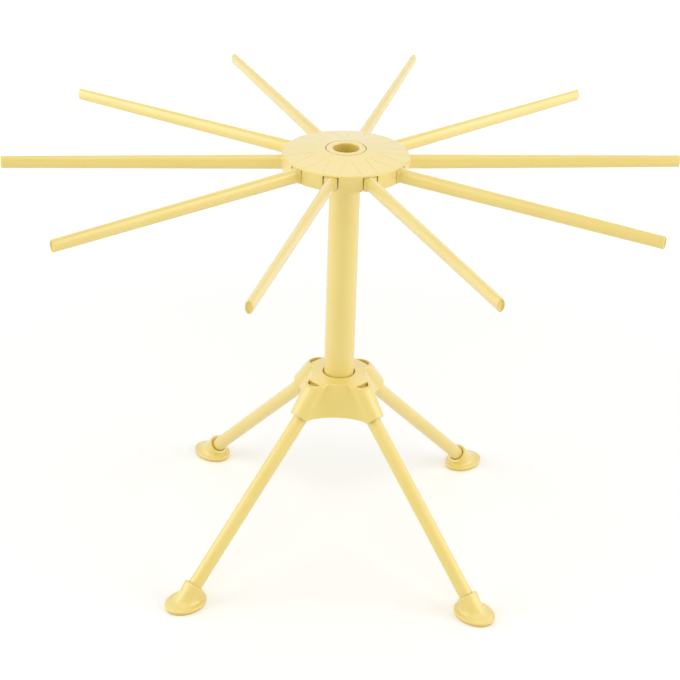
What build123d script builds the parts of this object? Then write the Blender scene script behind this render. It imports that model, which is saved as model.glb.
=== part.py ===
from build123d import *
from math import cos, hypot, radians, sin, tan

# Folding pasta drying rack: ten oval rods hinged in a conical hub, the hub turning on a hollow
# post, and the post standing in a four-lobed base with four hinged legs on oval feet.
# Millimetres, +Z up, origin on the table under the post's axis.
# Every hinged piece is drawn on the XZ plane, pointing along +X, and then turned to its azimuth.

# Whole rack
rod_count = 10
leg_count = 4
rod_span = 450.0
rod_plane_height = 291.5
rod_first_azimuth = 5.7
leg_first_azimuth = 45.0
overrun = 2.0
running_clearance = 0.08
seat_clearance = 0.05
side_clearance = 0.3

# Rods: tapered oval arms, hollow from the tip, with a block head that hinges on a pin
rod_root_height = 10.0
rod_root_width = 6.8
rod_tip_height = 8.4
rod_tip_width = 5.0
rod_wall = 1.3
rod_hollow_length = 130.0
rod_tip_rounding = 0.35
rod_head_width = 8.8
rod_head_height = 9.6
rod_head_side_gap = 0.9
rod_head_rounding = 0.4
rod_knuckle_radius = 4.8
rod_knuckle_side_gap = 0.2
rod_knuckle_reach = 3.4
rod_pin_diameter = 2.5
rod_pin_engagement = 2.3
rod_pin_circle_radius = 27.5

# Hub: shallow cone with ten slots that open at the rim and below, under a thin roof
hub_radius = 42.1
hub_rim_above_rods = 6.2
hub_rim_below_rods = 4.8
hub_roof_thickness = 1.1
hub_land_radius = 17.0
hub_cone_rise = 3.3
hub_slot_inner_radius = 22.0
hub_edge_rounding = 0.7
hub_score_width = 0.25
hub_score_depth = 0.12
hub_ring_gap = 0.5

# Plate under the hub that traps the hinge pins, and its screws
plate_thickness = 1.8
plate_inner_radius = 14.4
plate_rim_inset = 3.9
plate_slot_setback = 0.5
plate_gap = 0.15
plate_screw_count = 5
plate_screw_circle_radius = 33.0
plate_screw_head_radius = 2.7
plate_screw_head_height = 1.5
plate_screw_head_rounding = 0.5
plate_screw_shank_radius = 1.2
plate_screw_length = 7.0
screw_recess_depth = 0.8
screw_recess_width = 0.7

# Post: tube with a rounded flange at the top that keeps the hub on
post_radius = 10.4
post_wall = 1.6
post_flange_radius = 13.2
post_flange_thickness = 2.4
post_flange_proud = 0.4
post_flange_rounding = 0.8
post_groove_depth = 0.5
post_ring_outer_radius = 13.2
post_ring_thickness = 2.2
post_ring_opening = 9.0
post_plug_length = 14.0
post_screw_radius = 1.7
post_screw_head_radius = 4.0
post_screw_head_height = 2.2
post_screw_head_rounding = 0.7
post_screw_length = 14.0

# Base: flat-bottomed, four hoods along the legs, concave skirts between them
base_top_height = 133.0
base_depth = 23.3
base_land_radius = 17.5
base_land_rise = 1.0
base_crown_radius = 18.3
base_crown_corner_angle = 11.0
base_hem_valley_radius = 25.0
base_hem_tip_radius = 39.0
base_shoulder_reach = 34.0
base_shoulder_half_width = 10.5
base_wall = 2.0
base_roof_thickness = 2.2
base_edge_rounding = 0.6
base_floor_thickness = 3.3
socket_wall = 2.7
socket_mouth_gap = 0.9
socket_mouth_depth = 3.0
hood_crown_radius = 8.4
hood_crown_offset = 19.6
hood_end_radius = 7.5
hood_end_reach = 22.8
heel_window_wall = 1.8
heel_window_width = 2.3
heel_ear_inset = 1.0

# Legs: round rods at a slant, hinged to fold straight down
leg_radius = 5.0
leg_splay = 45.0
leg_pivot_radius = 20.2
leg_pivot_depth = 8.5
leg_knuckle_radius = 6.4
leg_knuckle_width = 10.8
leg_knuckle_rounding = 0.8
leg_stop_gap = 0.4
leg_bore_radius = 2.8
leg_bore_length = 130.0
leg_end_height = 6.7
leg_pin_radius = 1.75
leg_pin_engagement = 2.3
leg_pin_throat_pinch = 0.3
cheek_wall = 2.6

# Feet: oval shoes with a slanted ankle, each on a thin non-slip pad
foot_ankle_radius = 7.6
foot_ankle_height = 12.3
foot_mouth_gap = 0.7
foot_mouth_depth = 2.0
foot_centre_setback = 4.0
foot_half_length = 15.7
foot_half_width = 12.3
foot_rim_height = 2.0
foot_instep_half_length = 12.8
foot_instep_half_width = 9.6
foot_instep_setback = 0.8
foot_rim_rounding = 0.8
foot_pad_thickness = 1.6
foot_pad_inset = 0.7
foot_pad_rounding = 0.4

# Places that follow from the sizes above
rod_pitch_angle = 360 / rod_count
leg_pitch_angle = 360 / leg_count
rod_tip_radius = rod_span / 2
slot_width = rod_head_width + 2 * rod_head_side_gap
rim_top_height = rod_plane_height + hub_rim_above_rods
rim_bottom_height = rod_plane_height - hub_rim_below_rods
land_height = rim_top_height + hub_cone_rise
cone_slope = hub_cone_rise / (hub_radius - hub_land_radius)
plate_top_height = rim_bottom_height + plate_thickness
plate_outer_radius = hub_radius - plate_rim_inset
rod_pin_radius = rod_pin_diameter / 2
rod_pin_height = plate_top_height + rod_pin_radius + seat_clearance
rod_pin_length = slot_width + 2 * rod_pin_engagement
rod_knuckle_width = slot_width - 2 * rod_knuckle_side_gap
flange_top_height = land_height + post_flange_proud
flange_seat_height = flange_top_height - post_flange_thickness
ring_top_height = rim_bottom_height - seat_clearance
ring_bottom_height = ring_top_height - post_ring_thickness
post_bore_radius = post_radius - post_wall
base_bottom_height = base_top_height - base_depth
post_bottom_height = base_bottom_height + base_floor_thickness
socket_outer_radius = post_radius + socket_wall
leg_pivot_height = base_top_height - leg_pivot_depth
leg_along_x = sin(radians(leg_splay))
leg_along_z = cos(radians(leg_splay))
leg_pin_length = leg_knuckle_width + 2 * side_clearance + 2 * leg_pin_engagement
channel_width = leg_knuckle_width + 2 * side_clearance
cheek_width = channel_width + 2 * cheek_wall
leg_length = (leg_pivot_height - leg_end_height) / leg_along_z
ankle_distance = (leg_pivot_height - foot_ankle_height) / leg_along_z
leg_floor_radius = leg_pivot_radius + leg_pivot_height * tan(radians(leg_splay))
foot_centre_radius = leg_floor_radius - foot_centre_setback


def leg_point(distance, rise=0.0):
    """Point beside the leg's axis: a distance along it from the pivot, then a rise square to it."""
    x = leg_pivot_radius + distance * leg_along_x + rise * leg_along_z
    z = leg_pivot_height - distance * leg_along_z + rise * leg_along_x
    return (x, z)


def leg_plane(distance):
    """Plane square to the leg at a distance along it, facing away from the pivot."""
    x, z = leg_point(distance)
    return Plane(origin=(x, 0, z), x_dir=(0, 1, 0), z_dir=(leg_along_x, 0, -leg_along_z))


def polar_point(radius, azimuth):
    """Point of a level sketch at a radius and an azimuth in degrees."""
    return (radius * cos(radians(azimuth)), radius * sin(radians(azimuth)))


def save(piece, name):
    """Name a finished piece and write its file."""
    piece.label = name
    export_step(piece, f"parts/{name}.step")


# Hub shell
# Space of the ten slots: a ring under the roof, cut down to ten radial lanes
roof_rim_height = rim_top_height - hub_roof_thickness
with BuildPart() as slot_space:
    with BuildSketch(Plane.XZ) as under_roof:
        with BuildLine():
            roof_outer_height = roof_rim_height - cone_slope * overrun
            roof_inner_height = roof_rim_height + cone_slope * (hub_radius - hub_slot_inner_radius)
            Polyline(
                (hub_slot_inner_radius, rim_bottom_height - overrun),
                (hub_radius + overrun, rim_bottom_height - overrun),
                (hub_radius + overrun, roof_outer_height),
                (hub_slot_inner_radius, roof_inner_height),
                close=True,
            )
        make_face()
    revolve(axis=Axis.Z)
    lane_length = hub_radius + overrun
    with BuildSketch(Plane.XY.offset(rim_bottom_height - overrun)) as lanes:
        with PolarLocations(lane_length / 2, rod_count, start_angle=rod_first_azimuth):
            Rectangle(lane_length, slot_width)
    extrude(amount=land_height - rim_bottom_height + overrun, mode=Mode.INTERSECT)

# Fine score lines in the cone above the slots' edges
score_inner_radius = hub_slot_inner_radius
with BuildPart() as score_space:
    with BuildSketch(Plane.XZ) as score_layer:
        with BuildLine():
            score_outer_radius = hub_radius + overrun
            score_outer_height = rim_top_height - cone_slope * overrun
            score_inner_height = rim_top_height + cone_slope * (hub_radius - score_inner_radius)
            Polyline(
                (score_inner_radius, score_inner_height - hub_score_depth),
                (score_outer_radius, score_outer_height - hub_score_depth),
                (score_outer_radius, score_outer_height + overrun),
                (score_inner_radius, score_inner_height + overrun),
                close=True,
            )
        make_face()
    revolve(axis=Axis.Z)
    with BuildSketch(Plane.XY.offset(rim_bottom_height)) as score_lanes:
        with PolarLocations(lane_length / 2, rod_count, start_angle=rod_first_azimuth):
            with Locations((0, slot_width / 2), (0, -slot_width / 2)):
                Rectangle(lane_length, hub_score_width)
    extrude(amount=land_height - rim_bottom_height + 2 * overrun, mode=Mode.INTERSECT)

# Seats of the hinge pins in the wedges, open below so that the pins drop in
with BuildPart() as rod_pin_seat:
    with BuildSketch(Plane.XZ) as seat_side:
        with Locations((rod_pin_circle_radius, rod_pin_height)):
            Circle(rod_pin_radius + seat_clearance)
        seat_drop = rod_pin_height - rim_bottom_height
        with Locations((rod_pin_circle_radius, rod_pin_height - seat_drop / 2)):
            Rectangle(rod_pin_diameter + 2 * seat_clearance, seat_drop)
    extrude(amount=rod_pin_length / 2 + seat_clearance, both=True)

with BuildPart() as hub_shell:
    with BuildSketch(Plane.XZ) as hub_side:
        with BuildLine():
            Polyline(
                (post_radius + running_clearance, rim_bottom_height),
                (hub_radius, rim_bottom_height),
                (hub_radius, rim_top_height),
                (hub_land_radius, land_height),
                (post_radius + running_clearance, land_height),
                close=True,
            )
        make_face()
    revolve(axis=Axis.Z)
    rim_edges = hub_shell.edges().filter_by(GeomType.CIRCLE).filter_by(
        lambda edge: edge.radius > hub_land_radius
    )
    fillet(rim_edges, radius=hub_edge_rounding)
    # Recess that the post's flange sits in
    with BuildSketch(Plane.XY.offset(flange_seat_height - seat_clearance)) as ring_recess:
        Circle(post_flange_radius + hub_ring_gap)
    extrude(amount=post_flange_thickness + overrun, mode=Mode.SUBTRACT)
    # Recess that the pin plate sits in
    with BuildSketch(Plane.XY.offset(rim_bottom_height - overrun)) as plate_recess:
        Circle(plate_outer_radius + plate_gap)
        Circle(plate_inner_radius - plate_gap, mode=Mode.SUBTRACT)
    extrude(amount=overrun + plate_thickness, mode=Mode.SUBTRACT)
    add(slot_space.part, mode=Mode.SUBTRACT)
    add(score_space.part, mode=Mode.SUBTRACT)
    with PolarLocations(0, rod_count, start_angle=rod_first_azimuth):
        add(rod_pin_seat.part, mode=Mode.SUBTRACT)
    # Pilot holes of the plate screws, in every other wedge
    with BuildSketch(Plane.XY.offset(rim_bottom_height - overrun)) as pilots:
        with PolarLocations(
            plate_screw_circle_radius,
            plate_screw_count,
            start_angle=rod_first_azimuth + rod_pitch_angle / 2,
        ):
            Circle(plate_screw_shank_radius + seat_clearance)
    extrude(amount=overrun + plate_screw_length + seat_clearance, mode=Mode.SUBTRACT)
save(hub_shell.part, "hub_shell")

# Pin plate
with BuildPart() as pin_plate:
    with BuildSketch(Plane.XY.offset(rim_bottom_height)) as plate_face:
        Circle(plate_outer_radius)
        Circle(plate_inner_radius, mode=Mode.SUBTRACT)
        plate_lane = lane_length - hub_slot_inner_radius + plate_slot_setback
        plate_lane_middle = hub_slot_inner_radius - plate_slot_setback + plate_lane / 2
        with PolarLocations(plate_lane_middle, rod_count, start_angle=rod_first_azimuth):
            Rectangle(plate_lane, slot_width, mode=Mode.SUBTRACT)
        with PolarLocations(
            plate_screw_circle_radius,
            plate_screw_count,
            start_angle=rod_first_azimuth + rod_pitch_angle / 2,
        ):
            Circle(plate_screw_shank_radius + seat_clearance, mode=Mode.SUBTRACT)
    extrude(amount=plate_thickness - seat_clearance)
save(pin_plate.part, "hub_pin_plate")

# Plate screws
with BuildPart() as plate_screw:
    head_height = plate_screw_head_height
    with BuildSketch(Plane.XY.offset(rim_bottom_height - head_height)) as screw_head:
        Circle(plate_screw_head_radius)
    extrude(amount=head_height - seat_clearance)
    fillet(plate_screw.edges().group_by(Axis.Z)[0], radius=plate_screw_head_rounding)
    with BuildSketch(Plane.XY.offset(rim_bottom_height - head_height)) as cross_recess:
        Rectangle(plate_screw_head_radius, screw_recess_width)
        Rectangle(screw_recess_width, plate_screw_head_radius)
    extrude(amount=screw_recess_depth, mode=Mode.SUBTRACT)
    with BuildSketch(Plane.XY.offset(rim_bottom_height - seat_clearance)) as screw_shank:
        Circle(plate_screw_shank_radius)
    extrude(amount=plate_screw_length)
with BuildPart() as plate_screws:
    with PolarLocations(
        plate_screw_circle_radius,
        plate_screw_count,
        start_angle=rod_first_azimuth + rod_pitch_angle / 2,
    ):
        add(plate_screw.part)
save(plate_screws.part, "hub_plate_screws")

# Rods
with BuildPart() as rod_blank:
    head_top_height = rod_plane_height + rod_head_height / 2
    with BuildSketch(Plane.XZ) as head_side:
        head_length = hub_radius - rod_pin_circle_radius
        with Locations((rod_pin_circle_radius + head_length / 2, rod_plane_height)):
            Rectangle(head_length, rod_head_height)
    extrude(amount=rod_head_width / 2, both=True)
    fillet(rod_blank.faces().sort_by(Axis.X)[-1].edges(), radius=rod_head_rounding)
    with BuildSketch(Plane.XZ) as knuckle_side:
        with Locations((rod_pin_circle_radius, rod_pin_height)):
            Circle(rod_knuckle_radius)
        knuckle_block_height = head_top_height - rod_pin_height
        with Locations(
            (
                rod_pin_circle_radius + rod_knuckle_reach / 2,
                rod_pin_height + knuckle_block_height / 2,
            )
        ):
            Rectangle(rod_knuckle_reach, knuckle_block_height)
    extrude(amount=rod_knuckle_width / 2, both=True)
    # Arm, from inside the head to the tip
    arm_start_radius = hub_radius - rod_head_rounding
    with BuildSketch(Plane.YZ.offset(arm_start_radius)) as arm_root:
        with Locations((0, rod_plane_height)):
            Ellipse(rod_root_width / 2, rod_root_height / 2)
    with BuildSketch(Plane.YZ.offset(rod_tip_radius)) as arm_tip:
        with Locations((0, rod_plane_height)):
            Ellipse(rod_tip_width / 2, rod_tip_height / 2)
    loft()
    fillet(rod_blank.faces().sort_by(Axis.X)[-1].edges(), radius=rod_tip_rounding)
    # Hollow, open at the tip
    hollow_share = rod_hollow_length / (rod_tip_radius - arm_start_radius)
    hollow_end_width = rod_tip_width + (rod_root_width - rod_tip_width) * hollow_share
    hollow_end_height = rod_tip_height + (rod_root_height - rod_tip_height) * hollow_share
    with BuildSketch(Plane.YZ.offset(rod_tip_radius - rod_hollow_length)) as hollow_end:
        with Locations((0, rod_plane_height)):
            Ellipse(hollow_end_width / 2 - rod_wall, hollow_end_height / 2 - rod_wall)
    with BuildSketch(Plane.YZ.offset(rod_tip_radius)) as hollow_mouth:
        with Locations((0, rod_plane_height)):
            Ellipse(rod_tip_width / 2 - rod_wall, rod_tip_height / 2 - rod_wall)
    loft(mode=Mode.SUBTRACT)
    with BuildSketch(Plane.XZ) as pin_bore:
        with Locations((rod_pin_circle_radius, rod_pin_height)):
            Circle(rod_pin_radius + running_clearance)
    extrude(amount=slot_width, both=True, mode=Mode.SUBTRACT)

for index in range(rod_count):
    rod_azimuth = rod_first_azimuth + index * rod_pitch_angle
    with BuildPart() as rod:
        with PolarLocations(0, 1, start_angle=rod_azimuth):
            add(rod_blank.part)
    save(rod.part, f"rod_{index + 1:02d}")

# Pins of the rods
with BuildPart() as rod_pin:
    with BuildSketch(Plane.XZ) as pin_section:
        with Locations((rod_pin_circle_radius, rod_pin_height)):
            Circle(rod_pin_radius)
    extrude(amount=rod_pin_length / 2, both=True)
with BuildPart() as rod_pins:
    with PolarLocations(0, rod_count, start_angle=rod_first_azimuth):
        add(rod_pin.part)
save(rod_pins.part, "rod_hinge_pins")

# Post tube
with BuildPart() as post:
    with BuildSketch(Plane.XZ) as post_side:
        with BuildLine():
            groove_radius = post_radius - post_groove_depth
            Polyline(
                (post_bore_radius, post_bottom_height),
                (post_radius, post_bottom_height),
                (post_radius, ring_bottom_height - seat_clearance),
                (groove_radius, ring_bottom_height - seat_clearance),
                (groove_radius, ring_top_height + seat_clearance),
                (post_radius, ring_top_height + seat_clearance),
                (post_radius, flange_seat_height),
                (post_flange_radius, flange_seat_height),
                (post_flange_radius, flange_top_height),
                (post_bore_radius, flange_top_height),
                close=True,
            )
        make_face()
    revolve(axis=Axis.Z)
    fillet(post.edges().group_by(Axis.Z)[-1], radius=post_flange_rounding)
save(post.part, "post_tube")

# Split ring under the hub, sprung into the post's groove
with BuildPart() as post_ring:
    with BuildSketch(Plane.XY.offset(ring_bottom_height)) as ring_face:
        Circle(post_ring_outer_radius)
        Circle(post_radius - post_groove_depth + seat_clearance, mode=Mode.SUBTRACT)
        with Locations((0, post_radius)):
            Rectangle(post_ring_opening, post_radius, mode=Mode.SUBTRACT)
    extrude(amount=post_ring_thickness)
save(post_ring.part, "post_retaining_ring")

# Plug in the post's lower end, and the screw that holds the post down
with BuildPart() as post_plug:
    with BuildSketch(Plane.XY.offset(post_bottom_height)) as plug_face:
        Circle(post_bore_radius - seat_clearance)
        Circle(post_screw_radius + seat_clearance, mode=Mode.SUBTRACT)
    extrude(amount=post_plug_length)
save(post_plug.part, "post_plug")

with BuildPart() as post_screw:
    with BuildSketch(Plane.XY.offset(base_bottom_height - post_screw_head_height)) as post_head:
        Circle(post_screw_head_radius)
    extrude(amount=post_screw_head_height - seat_clearance)
    fillet(post_screw.edges().group_by(Axis.Z)[0], radius=post_screw_head_rounding)
    with BuildSketch(Plane.XY.offset(base_bottom_height - post_screw_head_height)) as post_cross:
        Rectangle(post_screw_head_radius, screw_recess_width)
        Rectangle(screw_recess_width, post_screw_head_radius)
    extrude(amount=screw_recess_depth, mode=Mode.SUBTRACT)
    with BuildSketch(Plane.XY.offset(base_bottom_height - seat_clearance)) as post_shank:
        Circle(post_screw_radius)
    extrude(amount=post_screw_length)
save(post_screw.part, "post_screw")


# Base
def lobed_face(height, corner_radius, corner_angle, tip_radius, valley_radius):
    """Level face whose outline is a lobe arc at each leg and a valley arc between neighbours."""
    with BuildSketch(Plane.XY.offset(height)) as lobed:
        with BuildLine():
            for index in range(leg_count):
                azimuth = leg_first_azimuth + index * leg_pitch_angle
                ThreePointArc(
                    polar_point(corner_radius, azimuth - corner_angle),
                    polar_point(tip_radius, azimuth),
                    polar_point(corner_radius, azimuth + corner_angle),
                )
                ThreePointArc(
                    polar_point(corner_radius, azimuth + corner_angle),
                    polar_point(valley_radius, azimuth + leg_pitch_angle / 2),
                    polar_point(corner_radius, azimuth + leg_pitch_angle - corner_angle),
                )
        make_face()
    return lobed.sketch


shoulder_radius = hypot(base_shoulder_reach, base_shoulder_half_width)
shoulder_angle = Vector(base_shoulder_reach, base_shoulder_half_width).get_angle(Vector(1, 0))
crown_face = lobed_face(
    base_top_height,
    base_crown_radius,
    base_crown_corner_angle,
    base_crown_radius,
    base_crown_radius,
)
hem_face = lobed_face(
    base_bottom_height,
    shoulder_radius,
    shoulder_angle,
    base_hem_tip_radius,
    base_hem_valley_radius,
)

# Space under the skirts, with the cheeks beside the legs and the post's socket left standing
inner_crown_radius = base_crown_radius - base_wall
inner_crown_face = lobed_face(
    base_top_height - base_roof_thickness,
    inner_crown_radius,
    base_crown_corner_angle,
    inner_crown_radius,
    inner_crown_radius,
)
inner_hem_face = lobed_face(
    base_bottom_height,
    shoulder_radius - base_wall,
    shoulder_angle,
    base_hem_tip_radius - base_wall,
    base_hem_valley_radius - base_wall,
)
with BuildPart() as skirt_space:
    loft(sections=[inner_crown_face, inner_hem_face])
    extrude(inner_hem_face, amount=-overrun)
    with BuildSketch(Plane.XY.offset(base_bottom_height - overrun)) as left_standing:
        Circle(socket_outer_radius)
        cheek_reach = base_hem_tip_radius
        with PolarLocations(cheek_reach / 2, leg_count, start_angle=leg_first_azimuth):
            Rectangle(cheek_reach, cheek_width)
    extrude(amount=base_depth + overrun, mode=Mode.SUBTRACT)

# Hood along one leg, from a level ring at the top to a ring square to the leg
with BuildPart() as hood:
    with BuildSketch(
        Plane(origin=(hood_crown_offset, 0, base_top_height), x_dir=(0, 1, 0), z_dir=(0, 0, -1))
    ) as hood_crown:
        Circle(hood_crown_radius)
    with BuildSketch(leg_plane(hood_end_reach)) as hood_end:
        Circle(hood_end_radius)
    loft()

# Channel that one leg swings in: its knuckle's round and everything from the slant to upright
with BuildPart() as leg_channel:
    with BuildSketch(Plane.XZ) as channel_side:
        knuckle_space_radius = leg_knuckle_radius + side_clearance
        with Locations((leg_pivot_radius, leg_pivot_height)):
            Circle(knuckle_space_radius)
        channel_floor = base_bottom_height - overrun
        roof_start = leg_point(0, leg_radius + leg_stop_gap)
        roof_end_radius = roof_start[0] + (roof_start[1] - channel_floor) * tan(radians(leg_splay))
        with BuildLine():
            Polyline(
                (leg_pivot_radius - knuckle_space_radius, channel_floor),
                (leg_pivot_radius - knuckle_space_radius, leg_pivot_height),
                roof_start,
                (roof_end_radius, channel_floor),
                close=True,
            )
        make_face()
    extrude(amount=channel_width / 2, both=True)

# Crescent window over the leg's heel
with BuildPart() as heel_window:
    window_radius = hood_crown_radius - heel_window_wall
    ear_radius = window_radius - heel_ear_inset
    ear_offset = hood_crown_offset + window_radius - heel_window_width - ear_radius
    with BuildSketch(Plane.XY.offset(leg_pivot_height)) as crescent:
        with Locations((hood_crown_offset, 0)):
            Circle(window_radius)
        with Locations((ear_offset, 0)):
            Circle(ear_radius, mode=Mode.SUBTRACT)
    extrude(amount=leg_pivot_depth + overrun)

# Seat of one leg's pin: a round hole with a narrower throat below, which the pin snaps through
with BuildPart() as leg_pin_seat:
    with BuildSketch(Plane.XZ) as throat_side:
        with Locations((leg_pivot_radius, leg_pivot_height)):
            Circle(leg_pin_radius + seat_clearance)
        throat_drop = leg_pivot_height - base_bottom_height + overrun
        with Locations((leg_pivot_radius, leg_pivot_height - throat_drop / 2)):
            Rectangle(2 * (leg_pin_radius - leg_pin_throat_pinch), throat_drop)
    extrude(amount=leg_pin_length / 2 + seat_clearance, both=True)

with BuildPart() as base:
    loft(sections=[crown_face, hem_face])
    with PolarLocations(0, leg_count, start_angle=leg_first_azimuth):
        add(hood.part)
    split(bisect_by=Plane.XY.offset(base_bottom_height), keep=Keep.TOP)
    with BuildSketch(Plane.XY.offset(base_top_height)) as land:
        Circle(base_land_radius)
    extrude(amount=base_land_rise)
    fillet(base.edges().group_by(Axis.Z)[-1], radius=base_edge_rounding)
    add(skirt_space.part, mode=Mode.SUBTRACT)
    with PolarLocations(0, leg_count, start_angle=leg_first_azimuth):
        add(leg_channel.part, mode=Mode.SUBTRACT)
        add(heel_window.part, mode=Mode.SUBTRACT)
        add(leg_pin_seat.part, mode=Mode.SUBTRACT)
    # Post's socket, wider at the mouth, and the screw hole in its floor
    socket_depth = base_top_height + base_land_rise - post_bottom_height
    with BuildSketch(Plane.XY.offset(post_bottom_height)) as socket:
        Circle(post_radius + seat_clearance)
    extrude(amount=socket_depth + overrun, mode=Mode.SUBTRACT)
    mouth_height = base_top_height + base_land_rise - socket_mouth_depth
    with BuildSketch(Plane.XY.offset(mouth_height)) as socket_mouth:
        Circle(post_radius + socket_mouth_gap)
    extrude(amount=socket_mouth_depth + overrun, mode=Mode.SUBTRACT)
    with BuildSketch(Plane.XY.offset(base_bottom_height - overrun)) as screw_hole:
        Circle(post_screw_radius + seat_clearance)
    extrude(amount=base_floor_thickness + 2 * overrun, mode=Mode.SUBTRACT)
save(base.part, "leg_base")

# Pins of the legs
with BuildPart() as leg_pin:
    with BuildSketch(Plane.XZ) as leg_pin_section:
        with Locations((leg_pivot_radius, leg_pivot_height)):
            Circle(leg_pin_radius)
    extrude(amount=leg_pin_length / 2, both=True)
with BuildPart() as leg_pins:
    with PolarLocations(0, leg_count, start_angle=leg_first_azimuth):
        add(leg_pin.part)
save(leg_pins.part, "leg_hinge_pins")

# Legs
with BuildPart() as leg_blank:
    with BuildSketch(Plane.XZ) as leg_knuckle_side:
        with Locations((leg_pivot_radius, leg_pivot_height)):
            Circle(leg_knuckle_radius)
    extrude(amount=leg_knuckle_width / 2, both=True)
    fillet(leg_blank.edges().filter_by(GeomType.CIRCLE), radius=leg_knuckle_rounding)
    with BuildSketch(leg_plane(0)) as leg_section:
        Circle(leg_radius)
    extrude(amount=leg_length)
    with BuildSketch(leg_plane(leg_length - leg_bore_length)) as leg_bore:
        Circle(leg_bore_radius)
    extrude(amount=leg_bore_length, mode=Mode.SUBTRACT)
    with BuildSketch(Plane.XZ) as leg_pin_bore:
        with Locations((leg_pivot_radius, leg_pivot_height)):
            Circle(leg_pin_radius + running_clearance)
    extrude(amount=leg_knuckle_width, both=True, mode=Mode.SUBTRACT)

# Feet
with BuildPart() as foot_blank:
    foot_plane = Plane(
        origin=(foot_centre_radius, 0, foot_pad_thickness), x_dir=(0, 1, 0), z_dir=(0, 0, 1)
    )
    with BuildSketch(foot_plane) as foot_rim:
        Ellipse(foot_half_width, foot_half_length)
    extrude(amount=foot_rim_height)
    fillet(foot_blank.edges().group_by(Axis.Z)[-1], radius=foot_rim_rounding)
    instep_plane = Plane(
        origin=(foot_centre_radius + foot_instep_setback, 0, foot_pad_thickness + foot_rim_height / 2),
        x_dir=(0, 1, 0),
        z_dir=(0, 0, -1),
    )
    with BuildSketch(instep_plane) as instep:
        Ellipse(foot_instep_half_width, foot_instep_half_length)
    with BuildSketch(leg_plane(ankle_distance)) as ankle:
        Circle(foot_ankle_radius)
    loft()
    with BuildSketch(leg_plane(ankle_distance - overrun)) as ankle_bore:
        Circle(leg_radius + seat_clearance)
    extrude(amount=leg_length - ankle_distance + overrun + seat_clearance, mode=Mode.SUBTRACT)
    with BuildSketch(leg_plane(ankle_distance - overrun)) as ankle_mouth:
        Circle(leg_radius + foot_mouth_gap)
    extrude(amount=foot_mouth_depth + overrun, mode=Mode.SUBTRACT)

# Non-slip pads
with BuildPart() as pad_blank:
    pad_plane = Plane(origin=(foot_centre_radius, 0, 0), x_dir=(0, 1, 0), z_dir=(0, 0, 1))
    with BuildSketch(pad_plane) as pad_face:
        Ellipse(foot_half_width - foot_pad_inset, foot_half_length - foot_pad_inset)
    extrude(amount=foot_pad_thickness - seat_clearance)
    fillet(pad_blank.edges().group_by(Axis.Z)[0], radius=foot_pad_rounding)

for index in range(leg_count):
    leg_azimuth = leg_first_azimuth + index * leg_pitch_angle
    for blank, piece_name in ((leg_blank, "leg"), (foot_blank, "foot"), (pad_blank, "foot_pad")):
        with BuildPart() as piece:
            with PolarLocations(0, 1, start_angle=leg_azimuth):
                add(blank.part)
        save(piece.part, f"{piece_name}_{index + 1}")
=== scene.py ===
# %% [markdown]
# # A folding pasta rack in moulded plastic
# The real object is a kitchen stand, injection moulded in one pale butter yellow. Ten oval rods
# spread from a hub, a hollow post carries the hub, and four legs stand out from a lobed base.
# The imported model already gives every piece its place, size and motion. This script gives each
# piece the surface that the eye sees: rounded edges, soft blends, grain and light.

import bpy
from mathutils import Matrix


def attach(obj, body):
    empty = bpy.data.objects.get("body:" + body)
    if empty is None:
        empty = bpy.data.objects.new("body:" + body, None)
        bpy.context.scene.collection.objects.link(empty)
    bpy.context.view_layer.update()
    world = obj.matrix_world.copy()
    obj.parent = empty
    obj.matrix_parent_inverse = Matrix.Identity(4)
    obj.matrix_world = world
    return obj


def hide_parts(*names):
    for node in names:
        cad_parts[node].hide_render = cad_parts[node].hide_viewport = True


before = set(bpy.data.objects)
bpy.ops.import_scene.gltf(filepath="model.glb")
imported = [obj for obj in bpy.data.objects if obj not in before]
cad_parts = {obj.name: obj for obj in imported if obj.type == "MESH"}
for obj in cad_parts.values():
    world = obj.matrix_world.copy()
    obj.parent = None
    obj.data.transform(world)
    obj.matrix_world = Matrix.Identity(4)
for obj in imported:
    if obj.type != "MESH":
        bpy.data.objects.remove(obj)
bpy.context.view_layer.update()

# %% [markdown]
# ## The unit
# A moulder's drawing is in millimetres and Blender measures in metres. Typing metres would fill
# the script with small fractions, so every length here stays in millimetres, and MM turns it to
# metres where it goes into Blender. Only the studio round the object is given in metres.

import bmesh
import bpy
import numpy as np
from mathutils import Matrix

MM = 0.001
scene = bpy.context.scene
print("one millimetre is", MM, "of Blender's units")

# %% [markdown]
# ## The camera
# The photograph was taken from in front and above with a long lens, held a little askew. The
# place, heading, pitch and roll below come from fitting a pinhole camera to the rod tips, the
# hub's rim, the post and the feet. A camera could be aimed with a constraint, but a matrix built
# from three axes keeps the small roll exactly.

# %% Camera at the photograph's viewing angle
PHOTO_SIDE, FOCAL_PIXELS, SENSOR_WIDTH = 680, 1667.3, 36.0
camera_place = np.array([10.36, -1031.05, 699.5]) * MM
heading, pitch_down, roll = np.radians([0.57, 27.70, 1.84])
upright = np.array([0.0, 0.0, 1.0])
level_ahead = np.array([-np.sin(heading), np.cos(heading), 0.0])
level_right = np.array([np.cos(heading), np.sin(heading), 0.0])
ahead = np.cos(pitch_down) * level_ahead - np.sin(pitch_down) * upright
above = np.cross(level_right, ahead)
camera_right = np.cos(roll) * level_right + np.sin(roll) * above
camera_up = np.cos(roll) * above - np.sin(roll) * level_right

camera_data = bpy.data.cameras.new("photo_camera")
camera_data.sensor_width = SENSOR_WIDTH
camera_data.lens = SENSOR_WIDTH * FOCAL_PIXELS / PHOTO_SIDE
camera = bpy.data.objects.new("photo_camera", camera_data)
pose = np.eye(4)
pose[:3, 0], pose[:3, 1], pose[:3, 2], pose[:3, 3] = camera_right, camera_up, -ahead, camera_place
camera.matrix_world = Matrix(pose.tolist())
scene.collection.objects.link(camera)
scene.camera = camera
print("lens in mm", round(camera_data.lens, 2))

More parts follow.
